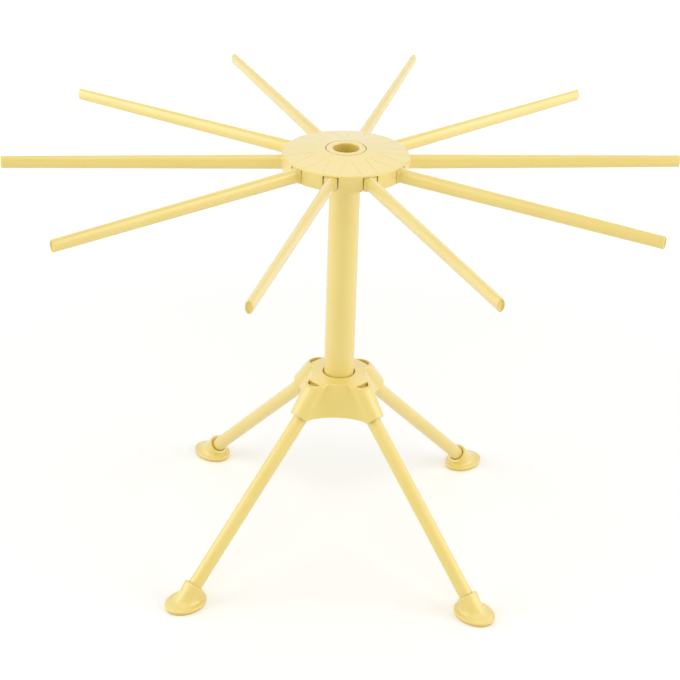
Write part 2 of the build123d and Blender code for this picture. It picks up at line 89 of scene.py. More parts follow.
# %% [markdown]
# ## Colour and nodes
# A hex value describes a colour as a screen shows it, but a shader adds light, so each channel
# is turned to linear light first. Every material below is put together with one small function
# that adds a node, sets its properties and sockets, and links whatever is handed to it as an
# output. That keeps a material readable as one recipe from top to bottom.

# %% Hex to linear light, and one function that adds a node
def linear(hex_colour):
    """sRGB hex to linear: c / 12.92 up to 0.04045, and ((c + 0.055) / 1.055) ** 2.4 above."""
    c = np.array([int(hex_colour[i : i + 2], 16) for i in (1, 3, 5)]) / 255
    return (*np.where(c <= 0.04045, c / 12.92, ((c + 0.055) / 1.055) ** 2.4).tolist(), 1.0)


def add_node(tree, kind, sockets=None, **properties):
    """Adds a node of a kind; a socket given an output is linked to it, any other is set."""
    made = tree.nodes.new(kind)
    for name, value in properties.items():
        setattr(made, name, value)
    for name, value in (sockets or {}).items():
        if isinstance(value, bpy.types.NodeSocket):
            tree.links.new(value, made.inputs[name])
        else:
            made.inputs[name].default_value = value
    return made


def new_material(name):
    """An empty node material and its tree."""
    material = bpy.data.materials.new(name)
    material.use_nodes = True
    material.node_tree.nodes.clear()
    return material, material.node_tree


DEEP_YELLOW, PALE_YELLOW = "#F0D460", "#F2D86B"
print("butter yellow in linear light", [round(c, 3) for c in linear(PALE_YELLOW)])

# %% [markdown]
# ## Satin polypropylene
# The whole stand is polypropylene, moulded in a steel tool that was spark eroded to a fine
# satin. The eye gets three things from that: a wide soft highlight, a grain too fine to count,
# and a faint cloudiness, a few centimetres across, where the melt flowed. In the photograph the
# plastic also turns pale where it is seen at a glancing angle. Lamps alone don't give that, so
# a rough clear coat and a sheen, both matched to the photograph, lie over the yellow.

# %% Satin polypropylene
# The tool's grain is about 0.15 mm, finer than a pixel here, so it is drawn four times coarser
GRAIN_MM, GRAIN_DEPTH_MM = 0.6, 0.03
CLOUD_MM, CLOUD_LOW, CLOUD_HIGH = 45.0, 0.35, 0.65
SATIN, SATIN_SPREAD = 0.45, 0.05


def moulded_plastic(name, deep, pale):
    """Polypropylene: two close yellows in slow clouds, fine grain in bump and roughness."""
    material, tree = new_material(name)
    place = add_node(tree, "ShaderNodeTexCoord").outputs["Object"]
    clouds = add_node(
        tree,
        "ShaderNodeTexNoise",
        {"Vector": place, "Scale": 1 / (CLOUD_MM * MM), "Detail": 3.0, "Roughness": 0.5},
    )
    colour = add_node(tree, "ShaderNodeValToRGB", {"Fac": clouds.outputs["Fac"]})
    colour.color_ramp.elements[0].position = CLOUD_LOW
    colour.color_ramp.elements[0].color = linear(deep)
    colour.color_ramp.elements[1].position = CLOUD_HIGH
    colour.color_ramp.elements[1].color = linear(pale)
    grain = add_node(
        tree,
        "ShaderNodeTexNoise",
        {"Vector": place, "Scale": 1 / (GRAIN_MM * MM), "Detail": 2.0, "Roughness": 0.6},
    )
    gloss = add_node(
        tree,
        "ShaderNodeMapRange",
        {
            "Value": grain.outputs["Fac"],
            "To Min": SATIN - SATIN_SPREAD,
            "To Max": SATIN + SATIN_SPREAD,
        },
    )
    relief = add_node(
        tree,
        "ShaderNodeBump",
        {"Height": grain.outputs["Fac"], "Strength": 0.25, "Distance": GRAIN_DEPTH_MM * MM},
    )
    surface = add_node(
        tree,
        "ShaderNodeBsdfPrincipled",
        {
            "Base Color": colour.outputs["Color"],
            "Roughness": gloss.outputs["Result"],
            "IOR": 1.5,
            "Normal": relief.outputs["Normal"],
            "Coat Weight": 1.0,
            "Coat Roughness": 0.42,
            "Coat IOR": 1.95,
            "Sheen Weight": 0.7,
            "Sheen Roughness": 0.4,
        },
    )
    add_node(tree, "ShaderNodeOutputMaterial", {"Surface": surface.outputs["BSDF"]})
    return material


yellow_plastic = moulded_plastic("satin_polypropylene", DEEP_YELLOW, PALE_YELLOW)
print("material", yellow_plastic.name)

# %% [markdown]
# ## Pad rubber
# The pads under the feet are thermoplastic rubber in the same yellow, matt and a little darker.
# Such rubber is moulded with a coarser, duller grain than the plastic, about half a millimetre,
# so the eye sees no highlight on it. A plain colour would look like more of the plastic.

# %% Thermoplastic rubber
RUBBER_GRAIN_MM, RUBBER_DEPTH_MM = 0.5, 0.05

pad_rubber, tree = new_material("thermoplastic_rubber")
place = add_node(tree, "ShaderNodeTexCoord").outputs["Object"]
grain = add_node(
    tree,
    "ShaderNodeTexNoise",
    {"Vector": place, "Scale": 1 / (RUBBER_GRAIN_MM * MM), "Detail": 3.0, "Roughness": 0.6},
)
tint = add_node(tree, "ShaderNodeValToRGB", {"Fac": grain.outputs["Fac"]})
tint.color_ramp.elements[0].color = linear("#DFC36A")
tint.color_ramp.elements[1].color = linear("#E9D07E")
relief = add_node(
    tree,
    "ShaderNodeBump",
    {"Height": grain.outputs["Fac"], "Strength": 0.3, "Distance": RUBBER_DEPTH_MM * MM},
)
surface = add_node(
    tree,
    "ShaderNodeBsdfPrincipled",
    {
        "Base Color": tint.outputs["Color"],
        "Roughness": 0.75,
        "IOR": 1.5,
        "Normal": relief.outputs["Normal"],
    },
)
add_node(tree, "ShaderNodeOutputMaterial", {"Surface": surface.outputs["BSDF"]})
print("material", pad_rubber.name)

# %% [markdown]
# ## Drawn steel
# The hinge pins and screws are drawn steel wire. The die leaves fine marks on it, which break
# up its reflection. The pieces are small and mostly hidden, so marks without a direction, as
# fine noise in the roughness alone, are enough, and lines along each wire aren't worth a node.

# %% Drawn steel wire
# The die's marks are a few hundredths of a millimetre wide, so they are drawn coarser to show
DRAWING_MARK_MM = 0.2

drawn_steel, tree = new_material("drawn_steel_wire")
place = add_node(tree, "ShaderNodeTexCoord").outputs["Object"]
marks = add_node(
    tree,
    "ShaderNodeTexNoise",
    {"Vector": place, "Scale": 1 / (DRAWING_MARK_MM * MM), "Detail": 2.0, "Roughness": 0.5},
)
gloss = add_node(
    tree, "ShaderNodeMapRange", {"Value": marks.outputs["Fac"], "To Min": 0.25, "To Max": 0.45}
)
surface = add_node(
    tree,
    "ShaderNodeBsdfPrincipled",
    {"Base Color": linear("#C9C7C2"), "Metallic": 1.0, "Roughness": gloss.outputs["Result"]},
)
add_node(tree, "ShaderNodeOutputMaterial", {"Surface": surface.outputs["BSDF"]})
print("material", drawn_steel.name)

# %% [markdown]
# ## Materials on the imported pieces
# The hub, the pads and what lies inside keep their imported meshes, because those already have
# the right form. They only need their material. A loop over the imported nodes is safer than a
# list of the visible ones, since no node can be forgotten.

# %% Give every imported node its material
STEEL_NODES = ("rod_hinge_pins", "leg_hinge_pins", "hub_plate_screws", "post_screw")

for name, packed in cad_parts.items():
    if name.startswith("foot_pad"):
        finish = pad_rubber
    elif name in STEEL_NODES:
        finish = drawn_steel
    else:
        finish = yellow_plastic
    packed.data.materials.clear()
    packed.data.materials.append(finish)
print("packed nodes finished", len(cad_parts))

# %% [markdown]
# ## Skins from whole arrays
# A moulded piece is a skin, and most skins are a section carried along a path or turned round an
# axis. Both are a function of two parameters, so numpy can work out all points at once. The
# points form a grid, each cell of the grid becomes a quad, and rows that shrink to one point
# close the skin at its ends. Drawing such forms by hand would lose the exact sizes of the frame.

# %% Mesh from a grid of points
SHARP_DEGREES, SAME_PLACE = 33.0, 1e-6


def add_skin(name, points, material, rows_close=False):
    """Quad (i, j) joins the points (i, j), (i + 1, j), (i + 1, j + 1) and (i, j + 1).

    Columns run round and join up. Rows join up too where rows_close is set; otherwise the first
    and the last row are one point each."""
    rows, columns = points.shape[:2]
    i, j = np.meshgrid(
        np.arange(rows if rows_close else rows - 1), np.arange(columns), indexing="ij"
    )
    i_next, j_next = (i + 1) % rows, (j + 1) % columns
    quads = np.stack(
        [i * columns + j, i_next * columns + j, i_next * columns + j_next, i * columns + j_next], -1
    )
    mesh = bpy.data.meshes.new(name)
    mesh.from_pydata((points.reshape(-1, 3) * MM).tolist(), [], quads.reshape(-1, 4).tolist())
    shell = bmesh.new()
    shell.from_mesh(mesh)
    bmesh.ops.remove_doubles(shell, verts=shell.verts, dist=SAME_PLACE)
    bmesh.ops.recalc_face_normals(shell, faces=shell.faces)
    shell.to_mesh(mesh)
    shell.free()
    mesh.polygons.foreach_set("use_smooth", np.ones(len(mesh.polygons), bool))
    mesh.set_sharp_from_angle(angle=np.radians(SHARP_DEGREES))
    mesh.materials.append(material)
    piece = bpy.data.objects.new(name, mesh)
    scene.collection.objects.link(piece)
    return piece


def finish_piece(piece, node, body):
    """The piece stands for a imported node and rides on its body."""
    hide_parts(node)
    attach(piece, body)


def turned(points, azimuth):
    """Points turned about the upright axis: x cos a - y sin a, x sin a + y cos a, z."""
    a = np.radians(azimuth)
    x, y, z = np.moveaxis(points, -1, 0)
    return np.stack([x * np.cos(a) - y * np.sin(a), x * np.sin(a) + y * np.cos(a), z], -1)


print("edges sharper than", SHARP_DEGREES, "degrees stay crisp")

# %% [markdown]
# ## Sections along a path
# Rods and legs are long pieces whose section changes on the way: nearly a rectangle in the
# hinge, an oval or a circle further out. A table with one row for each section describes that
# completely. A superellipse gives both kinds of section with one number, its squareness, so no
# two outlines have to be matched point by point.

# %% Tables of sections, and the skin that they carry
SQUARE, OVAL = 12, 2


def sections(distance, half_width, half_height, squareness, middle):
    """Rows of a table: distance, half width, middle + half height, middle - half height, n."""
    high, low = middle + half_height, middle - half_height
    return np.stack(np.broadcast_arrays(distance, half_width, high, low, squareness), -1)


def stations(*runs):
    """Rows of a table: each run goes evenly from its first row to its last in a given count."""
    parts = []
    for first, last, count in runs:
        share = np.linspace(0, 1, count)[:, None]
        parts.append(np.array(first)[None] * (1 - share) + np.array(last)[None] * share)
    return np.concatenate(parts)


def with_poles(table):
    """The table with its first and last section shrunk to their middles, which closes the skin."""
    ends = [table[:1].copy(), table[-1:].copy()]
    for end in ends:
        end[:, 2:4] = end[:, 2:4].mean()
        end[:, 1] = 0
    return np.concatenate([ends[0], table, ends[1]])


def carried(table, origin, out, across, up, columns):
    """Section |y / w| ** n + |z / h| ** n = 1 carried along a straight path.

    A row of the table gives the distance d along the path, the half width w, the top and bottom,
    and the squareness n. At polar angle t, with q = (|cos t| ** n + |sin t| ** n) ** (1 / n),
    y = w cos t / q and z = middle + h sin t / q; the point is origin + d out + y across + z up."""
    t = np.linspace(0, 2 * np.pi, columns, endpoint=False)[None]
    d, w, high, low, n = (table[:, k : k + 1] for k in range(5))
    q = (np.abs(np.cos(t)) ** n + np.abs(np.sin(t)) ** n) ** (1 / n)
    y = w * np.cos(t) / q
    z = (high + low) / 2 + (high - low) / 2 * np.sin(t) / q
    parts = ((d + 0 * t, out), (y, across), (z, up))
    return np.array(origin) + sum(amount[..., None] * np.array(way) for amount, way in parts)


print("squareness runs from", OVAL, "for an ellipse to", SQUARE, "and more for a block")

# %% [markdown]
# ## The rods
# A rod is one moulding: a knuckle round the hinge pin, a block head that fills its slot, and a
# long oval arm that tapers to its tip. A core pin leaves a hollow there, of which the eye sees
# only the mouth, so the skin closes it one millimetre in, with a floor as rounded as its walls.
# Extrusion and bevels could do the head, but they couldn't run the taper, the lip and the
# recess in one closed skin.

# %% Head of a rod, from behind the hinge pin to the hub's rim
ROD_COUNT, ROD_FIRST, ROD_SPAN = 10, 5.7, 450.0
ROD_LEVEL, PIN_CIRCLE, PIN_LEVEL, HUB_RADIUS = 291.5, 27.5, 289.8, 42.1
HEAD_HALF_HEIGHT, ROD_ROUNDING = 4.8, 0.5
KNUCKLE_HALF_WIDTH, SHOULDER_HALF_WIDTH, NECK_HALF_WIDTH = 5.1, 4.8, 4.4
HEEL_RUN, RAMP_RUN, SHOULDER_RUN, SHOULDER_STEP, NECK_RUN = 1.7, 3.1, 3.4, 0.05, 4.5
HEEL_RISE, RAMP_RISE = 0.3, 1.3
head_top, head_bottom = ROD_LEVEL + HEAD_HALF_HEIGHT, ROD_LEVEL - HEAD_HALF_HEIGHT
heel = PIN_LEVEL - HEAD_HALF_HEIGHT
shoulder = PIN_CIRCLE + SHOULDER_RUN
print("heel and head top in mm", heel, round(head_top, 1))

# Round the pin, from 4 degrees short of the back, where the section would have no height
lobe = np.radians(np.linspace(176, 91, 14))
knuckle = sections(
    PIN_CIRCLE + HEAD_HALF_HEIGHT * np.cos(lobe),
    KNUCKLE_HALF_WIDTH,
    HEAD_HALF_HEIGHT * np.sin(lobe),
    SQUARE,
    PIN_LEVEL,
)
block = stations(
    (
        (PIN_CIRCLE, KNUCKLE_HALF_WIDTH, head_top - ROD_ROUNDING, heel, SQUARE),
        (PIN_CIRCLE + ROD_ROUNDING, KNUCKLE_HALF_WIDTH, head_top, heel, SQUARE),
        3,
    ),
    (
        (PIN_CIRCLE + HEEL_RUN, KNUCKLE_HALF_WIDTH, head_top, heel + HEEL_RISE, SQUARE),
        (PIN_CIRCLE + RAMP_RUN, KNUCKLE_HALF_WIDTH, head_top, heel + RAMP_RISE, SQUARE),
        3,
    ),
    (
        (shoulder, SHOULDER_HALF_WIDTH, head_top, head_bottom, SQUARE),
        (shoulder + SHOULDER_STEP, NECK_HALF_WIDTH, head_top, head_bottom, SQUARE),
        2,
    ),
    (
        (PIN_CIRCLE + NECK_RUN, NECK_HALF_WIDTH, head_top, head_bottom, SQUARE),
        (HUB_RADIUS - ROD_ROUNDING, NECK_HALF_WIDTH, head_top, head_bottom, SQUARE),
        4,
    ),
)
bend = np.radians(np.linspace(15, 90, 5))
inset = ROD_ROUNDING * (1 - np.cos(bend))
nose = sections(
    HUB_RADIUS - ROD_ROUNDING * (1 - np.sin(bend)),
    NECK_HALF_WIDTH - inset,
    HEAD_HALF_HEIGHT - inset,
    SQUARE,
    ROD_LEVEL,
)
print("sections in a rod's head", len(knuckle) + len(block) + len(nose))

# %% Arm of a rod, from the hub's rim to the tip and into its recess
ROOT_HALF_WIDTH, ROOT_HALF_HEIGHT, ROOT_RUN = 3.4, 5.0, 0.7
TIP_HALF_WIDTH, TIP_HALF_HEIGHT = 2.5, 4.2
RECESS_HALF_WIDTH, RECESS_HALF_HEIGHT, RECESS_DEPTH = 1.9, 3.6, 1.0
tip = ROD_SPAN / 2

# Distance past the rim, and what the root is wider, higher and squarer there
ROOT_FILLET = np.array([[0.0, 0.4, 0.1, 0.2], [0.25, 0.1, 0.05, 0.1]])
run, wider, higher, squarer = ROOT_FILLET.T
root = sections(
    HUB_RADIUS + run,
    ROOT_HALF_WIDTH + wider,
    ROOT_HALF_HEIGHT + higher,
    OVAL + squarer,
    ROD_LEVEL,
)
arm_start = sections(HUB_RADIUS + ROOT_RUN, ROOT_HALF_WIDTH, ROOT_HALF_HEIGHT, OVAL, ROD_LEVEL)
arm_end = sections(tip - ROD_ROUNDING, TIP_HALF_WIDTH, TIP_HALF_HEIGHT, OVAL, ROD_LEVEL)
arm = stations((arm_start, arm_end, 30))
lip = sections(
    tip - ROD_ROUNDING * (1 - np.sin(bend)),
    TIP_HALF_WIDTH - inset,
    TIP_HALF_HEIGHT - inset,
    OVAL,
    ROD_LEVEL,
)
# A quarter of |depth| ** 4 + |width| ** 4 = 1 from the recess's mouth to its floor
inward = np.radians(np.linspace(0, 88, 10))
recess = sections(
    tip - RECESS_DEPTH * np.sin(inward) ** 0.5,
    RECESS_HALF_WIDTH * np.cos(inward) ** 0.5,
    RECESS_HALF_HEIGHT * np.cos(inward) ** 0.5,
    OVAL,
    ROD_LEVEL,
)
rod_table = with_poles(np.concatenate([knuckle, block, nose, root, arm, lip, recess]))
print("sections along a rod", len(rod_table))

# %% Ten rods round the hub
ROD_COLUMNS = 56

rod_points = carried(rod_table, (0, 0, 0), (1, 0, 0), (0, 1, 0), (0, 0, 1), ROD_COLUMNS)
for index in range(ROD_COUNT):
    name = f"rod_{index + 1:02d}"
    azimuth = ROD_FIRST + index * 360 / ROD_COUNT
    rod = add_skin(name + "_skin", turned(rod_points, azimuth), yellow_plastic)
    finish_piece(rod, name, f"arm_{index + 1:02d}")
print("rods", ROD_COUNT, "faces each", len(rod.data.polygons))

# %% [markdown]
# ## The legs
# A leg is a round rod with a barrel across its top end, which the hinge pin passes through. A
# cylinder and a cross bar could be joined, but that leaves a hard crease between them. So the
# leg is carried the same way as the rods, only along its slant: the section starts as the
# barrel's side view, square across, and turns into a circle.

# %% Four legs on their slant
LEG_COUNT, LEG_FIRST, LEG_COLUMNS = 4, 45.0, 64
LEG_PIN_CIRCLE, LEG_PIN_LEVEL, LEG_END_LEVEL, LEG_RADIUS = 20.2, 124.5, 6.7, 5.0
BARREL_RADIUS, BARREL_HALF_WIDTH, BARREL_SQUARENESS = 6.4, 5.4, 14
NECK_FROM, NECK_TO, SHAFT_FROM = 4.0, 4.6, 6.0
NECK_WIDER, NECK_HIGHER, NECK_SQUARENESS = 0.2, 0.05, 6
END_CHAMFER, END_EASE_RUN, END_EASE = 0.6, 0.4, 0.1
LEG_STEP = 360 / LEG_COUNT
SLANT = np.array([np.sqrt(0.5), 0, -np.sqrt(0.5)])
ACROSS = np.array([0.0, 1.0, 0.0])
OFF_SLANT = np.array([np.sqrt(0.5), 0, np.sqrt(0.5)])
leg_start = np.array([LEG_PIN_CIRCLE, 0.0, LEG_PIN_LEVEL])
leg_length = (LEG_PIN_LEVEL - LEG_END_LEVEL) * np.sqrt(2)


def round_section(distance, radius):
    """Row of a circle on the leg's own axis: half width = half height = radius."""
    return sections(distance, radius, radius, OVAL, 0.0)


# Round the pin again, but further over, because the leg is thinner than its barrel
lobe = np.radians(np.linspace(176, 55, 18))
barrel = sections(
    BARREL_RADIUS * np.cos(lobe),
    BARREL_HALF_WIDTH,
    BARREL_RADIUS * np.sin(lobe),
    BARREL_SQUARENESS,
    0.0,
)
neck = sections(
    NECK_FROM, LEG_RADIUS + NECK_WIDER, LEG_RADIUS + NECK_HIGHER, NECK_SQUARENESS, 0.0
)
shaft = stations(
    (neck, round_section(NECK_TO, LEG_RADIUS), 4),
    (
        round_section(SHAFT_FROM, LEG_RADIUS),
        round_section(leg_length - END_CHAMFER, LEG_RADIUS),
        26,
    ),
    (
        round_section(leg_length - END_EASE_RUN, LEG_RADIUS - END_EASE),
        round_section(leg_length, LEG_RADIUS - END_CHAMFER),
        3,
    ),
)
leg_table = with_poles(np.concatenate([barrel, shaft]))
leg_points = carried(leg_table, leg_start, SLANT, ACROSS, OFF_SLANT, LEG_COLUMNS)
for index in range(LEG_COUNT):
    name = f"leg_{index + 1}"
    azimuth = LEG_FIRST + index * LEG_STEP
    leg = add_skin(name + "_skin", turned(leg_points, azimuth), yellow_plastic)
    finish_piece(leg, name, f"leg_unit_{index + 1}")
print("legs", LEG_COUNT, "length in mm", round(leg_length, 1))

# %% [markdown]
# ## The feet
# Each foot is a shoe pressed on the end of a leg: an oval sole, a rim, and an instep that sweeps
# up from the rim to a round collar square to the leg. The sweep leaves the collar along the leg
# and runs out level on the rim, so a cubic with those two directions at its ends draws it for
# every angle round the foot. A plain cone from oval to circle would lose that saddle.

# %% Rings and sweep of a foot
SOLE_MEETS_LEVEL, COLLAR_LEVEL = 4.0, 12.3
SOLE_CENTRE = np.array([LEG_PIN_CIRCLE + LEG_PIN_LEVEL - SOLE_MEETS_LEVEL, 0.0, 0.0])
collar_at = (LEG_PIN_LEVEL - COLLAR_LEVEL) * np.sqrt(2)
around = np.linspace(0, 2 * np.pi, 96, endpoint=False)
outward = np.stack([np.cos(around), np.sin(around), 0 * around], -1)


def sole_ring(half_long, half_wide, height, shift=0.0):
    """Level ellipse over the sole: centre + (a cos t, b sin t, height)."""
    return SOLE_CENTRE + outward * [half_long, half_wide, 0] + [shift, 0, height]


def collar_ring(radius, distance):
    """Circle square to the leg: start + distance along it + r (cos t off the slant + sin t across)."""
    sides = np.cos(around)[:, None] * OFF_SLANT + np.sin(around)[:, None] * ACROSS
    return leg_start + distance * SLANT + radius * sides


def sweep(first, first_way, last, last_way, count):
    """Cubic from ring p to ring q that leaves along m and arrives along n.

    (2s3 - 3s2 + 1) p + (s3 - 2s2 + s) m + (3s2 - 2s3) q + (s3 - s2) n, for s from 0 to 1."""
    s = np.linspace(0, 1, count)[1:-1, None, None]
    return (
        (2 * s**3 - 3 * s**2 + 1) * first
        + (s**3 - 2 * s**2 + s) * first_way
        + (3 * s**2 - 2 * s**3) * last
        + (s**3 - s**2) * last_way
    )


print("collar along the leg in mm", round(collar_at, 1))

# %% Skin of a foot
SHOE_LONG, SHOE_WIDE, SHOE_TOP, SHOE_ROUNDING = 15.7, 12.3, 3.6, 0.8
SOLE_LEVEL, SOLE_CHAMFER = 1.6, 0.4
RIM_LONG, RIM_WIDE, RIM_SHIFT, SWEEP_PULL = 13.7, 10.5, 0.4, 0.9
COLLAR_RADIUS, COLLAR_ROUNDING = 7.6, 0.6
ANKLE_MOUTH, ANKLE_CHAMFER, ANKLE_DEPTH, ANKLE_BORE = 5.7, 0.2, 2.0, 5.05

rim = sole_ring(RIM_LONG, RIM_WIDE, SHOE_TOP, RIM_SHIFT)
collar = collar_ring(COLLAR_RADIUS, collar_at + COLLAR_ROUNDING)
reach = np.linalg.norm(collar - rim, axis=1)[:, None]
instep = sweep(rim, -outward * SWEEP_PULL * reach, collar, -SLANT * SWEEP_PULL * reach, 20)
quarter_round = np.radians(np.linspace(0, 90, 5))
edge = [
    sole_ring(SHOE_LONG - inset, SHOE_WIDE - inset, SHOE_TOP - drop)
    for inset, drop in zip(
        SHOE_ROUNDING * (1 - np.cos(quarter_round)), SHOE_ROUNDING * (1 - np.sin(quarter_round))
    )
]
collar_lip = [
    collar_ring(COLLAR_RADIUS - inset, collar_at + drop)
    for inset, drop in zip(
        COLLAR_ROUNDING * (1 - np.cos(quarter_round[1:])),
        COLLAR_ROUNDING * (1 - np.sin(quarter_round[1:])),
    )
]
socket = [
    collar_ring(radius, collar_at + distance)
    for radius, distance in (
        (ANKLE_MOUTH + ANKLE_CHAMFER, 0),
        (ANKLE_MOUTH, ANKLE_CHAMFER),
        (ANKLE_MOUTH, ANKLE_DEPTH),
        (ANKLE_BORE, ANKLE_DEPTH),
        (ANKLE_BORE, leg_length - collar_at),
        (0, leg_length - collar_at),
    )
]
sole = [
    sole_ring(0, 0, SOLE_LEVEL),
    sole_ring(SHOE_LONG - SOLE_CHAMFER, SHOE_WIDE - SOLE_CHAMFER, SOLE_LEVEL),
    sole_ring(SHOE_LONG, SHOE_WIDE, SOLE_LEVEL + SOLE_CHAMFER),
]
foot_points = np.concatenate(
    [np.stack(sole + edge + [rim]), instep, np.stack([collar] + collar_lip + socket)]
)
for index in range(LEG_COUNT):
    name = f"foot_{index + 1}"
    azimuth = LEG_FIRST + index * LEG_STEP
    foot = add_skin(name + "_skin", turned(foot_points, azimuth), yellow_plastic)
    finish_piece(foot, name, f"leg_unit_{index + 1}")
print("feet", LEG_COUNT, "faces each", len(foot.data.polygons))

# %% [markdown]
# ## The post
# The post is a tube with a thick rounded flange that shows as a ring in the middle of the hub.
# It could be a cylinder with a hole and a bevel, but a profile turned round the upright axis
# keeps every radius in one place: it goes up the outside past the groove of the split ring,
# over the flange, over the lip of the bore and down the inside, and closes on itself.

# %% Post turned from its profile
POST_RADIUS, POST_BORE, POST_FOOT, POST_TOP, POST_COLUMNS = 10.4, 8.8, 113.0, 301.4, 96
GROOVE_RADIUS, GROOVE_LOW, GROOVE_HIGH = 9.9, 284.4, 286.7
FLANGE_RADIUS, FLANGE_LOW, FLANGE_ROUNDING, BORE_ROUNDING = 13.2, 299.0, 1.0, 0.8
RUN_INSET, RUN_ROWS = 1.0, 12


def rounded(centre, radius, start, end, count):
    """Arc of a profile: centre + radius (cos a, sin a), a from start to end in degrees."""
    a = np.radians(np.linspace(start, end, count))
    return np.stack([centre[0] + radius * np.cos(a), centre[1] + radius * np.sin(a)], -1)


def upright_run(radius, start, end):
    """Straight stretch of the profile at one radius, in even steps, so its faces stay short."""
    return stations(((radius, start), (radius, end), RUN_ROWS))


def turned_skin(profile, columns):
    """Profile of radius and height turned round the upright axis: (r cos t, r sin t, z)."""
    t = np.linspace(0, 2 * np.pi, columns, endpoint=False)[None]
    r, z = profile[:, :1], profile[:, 1:]
    return np.stack([r * np.cos(t), r * np.sin(t), z + 0 * t], -1)


flange_centre = (FLANGE_RADIUS - FLANGE_ROUNDING, POST_TOP - FLANGE_ROUNDING)
bore_centre = (POST_BORE + BORE_ROUNDING, POST_TOP - BORE_ROUNDING)
post_profile = np.concatenate(
    [
        [[POST_BORE, POST_FOOT], [POST_RADIUS, POST_FOOT]],
        upright_run(POST_RADIUS, POST_FOOT + RUN_INSET, GROOVE_LOW - RUN_INSET),
        [[POST_RADIUS, GROOVE_LOW], [GROOVE_RADIUS, GROOVE_LOW]],
        [[GROOVE_RADIUS, GROOVE_HIGH], [POST_RADIUS, GROOVE_HIGH]],
        [[POST_RADIUS, FLANGE_LOW], [FLANGE_RADIUS, FLANGE_LOW]],
        rounded(flange_centre, FLANGE_ROUNDING, 0, 90, 7),
        rounded(bore_centre, BORE_ROUNDING, 90, 180, 6),
        upright_run(POST_BORE, bore_centre[1] - RUN_INSET, POST_FOOT + RUN_INSET),
    ]
)
post_points = turned_skin(post_profile, POST_COLUMNS)
post = add_skin("post_skin", post_points, yellow_plastic, rows_close=True)
finish_piece(post, "post_tube", "stand")
print("post faces", len(post.data.polygons))

# %% [markdown]
# ## The base
# The base is one thin moulding: a nearly flat top round the post, four hoods that run down over
# the legs, and skirts that hang between them. Its wall can be given as a distance from the
# upright axis for every azimuth and height, so hood and skirt are two formulas, and a soft
# maximum of the two makes the blend between them. Joining solids would leave hard creases there.

# %% Hood and skirt as distances from the axis
BASE_TOP, BASE_BOTTOM = 133.0, 109.7
CROWN_RADIUS, HEM_VALLEY, HEM_ARC, HEM_TIP, SKIRT_BULGE = 18.3, 25.0, 44.0, 36.0, 0.7
HOOD_AT, HOOD_RADIUS, HOOD_BLEND = 19.6, 8.4, 2.0
HOOD_END_AT, HOOD_END_RADIUS = 22.8, 7.5
quarter = np.pi / 2
base_turn = np.linspace(0, 2 * np.pi, 640, endpoint=False)[None]
off_leg = (base_turn - np.radians(LEG_FIRST) + quarter / 2) % quarter - quarter / 2


def soft_max(a, b, blend):
    """Maximum with a rounded change over: (a + b + sqrt((a - b) ** 2 + blend ** 2)) / 2."""
    return (a + b + np.sqrt((a - b) ** 2 + blend**2)) / 2


def skirt_distance(angle, z):
    """The crown's circle mixed with the hem's arc, by a share that grows with depth.

    The arc is c cos t - sqrt(r2 - (c sin t)2), cut short where it runs in under the hood. The
    share is depth to a power below one, so the skirt bulges a bit."""
    from_valley = quarter / 2 - np.abs(angle)
    arc_at = HEM_VALLEY + HEM_ARC
    root = np.clip(HEM_ARC**2 - (arc_at * np.sin(from_valley)) ** 2, 0, None)
    hem = np.minimum(arc_at * np.cos(from_valley) - np.sqrt(root), HEM_TIP)
    share = np.clip((BASE_TOP - z) / (BASE_TOP - BASE_BOTTOM), 0, None) ** SKIRT_BULGE
    return (1 - share) * CROWN_RADIUS + share * hem


def hood_distance(angle, z):
    """Far crossing of a ray with an ellipse that slides outward and narrows on its way down.

    a r2 - 2 b r + g = 0, so r = (b + sqrt(b2 - a g)) / a; past the ellipse the root is taken
    with a minus sign, which lets the hood fall away quickly."""
    s = (BASE_TOP - z) / (BASE_TOP - LEG_PIN_LEVEL + HOOD_END_AT / np.sqrt(2))
    centre = HOOD_AT + (LEG_PIN_CIRCLE - HOOD_AT + HOOD_END_AT / np.sqrt(2)) * s
    half_across = HOOD_RADIUS + (HOOD_END_RADIUS - HOOD_RADIUS) * s
    half_out = HOOD_RADIUS + (HOOD_END_RADIUS * np.sqrt(2) - HOOD_RADIUS) * s
    a = (np.cos(angle) / half_out) ** 2 + (np.sin(angle) / half_across) ** 2
    b = centre * np.cos(angle) / half_out**2
    under = b**2 - a * ((centre / half_out) ** 2 - 1)
    return (b + np.sign(under) * np.sqrt(np.abs(under))) / a


def outer_distance(angle, z):
    """The wall seen from outside: soft maximum of skirt and hood."""
    return soft_max(skirt_distance(angle, z), hood_distance(angle, z), HOOD_BLEND)


print("crown radius over a leg in mm", round(float(outer_distance(0.0, BASE_TOP)), 2))

# %% [markdown]
# ## The base from inside
# Under the hoods the base is open, because the legs swing there. The inner wall follows the
# skirt at the thickness of the moulding, except in the lane of a leg, where it opens up to two
# flat cheeks and a roof. The hoods end in a plane square to the leg. That plane crosses the wall
# at a height that no short formula gives, so halving an interval finds it for all azimuths.

# %% Inner wall, and the height where a wall ends
CHANNEL_HALF, KNUCKLE_SPACE, ROOF_GAP, BASE_WALL = 5.75, 6.7, 5.5, 2.0
WALL_SLANT, LEAST_SINE, HALVINGS = 1.15, 1e-6, 40
end_plane = LEG_PIN_CIRCLE - LEG_PIN_LEVEL + HOOD_END_AT * np.sqrt(2)


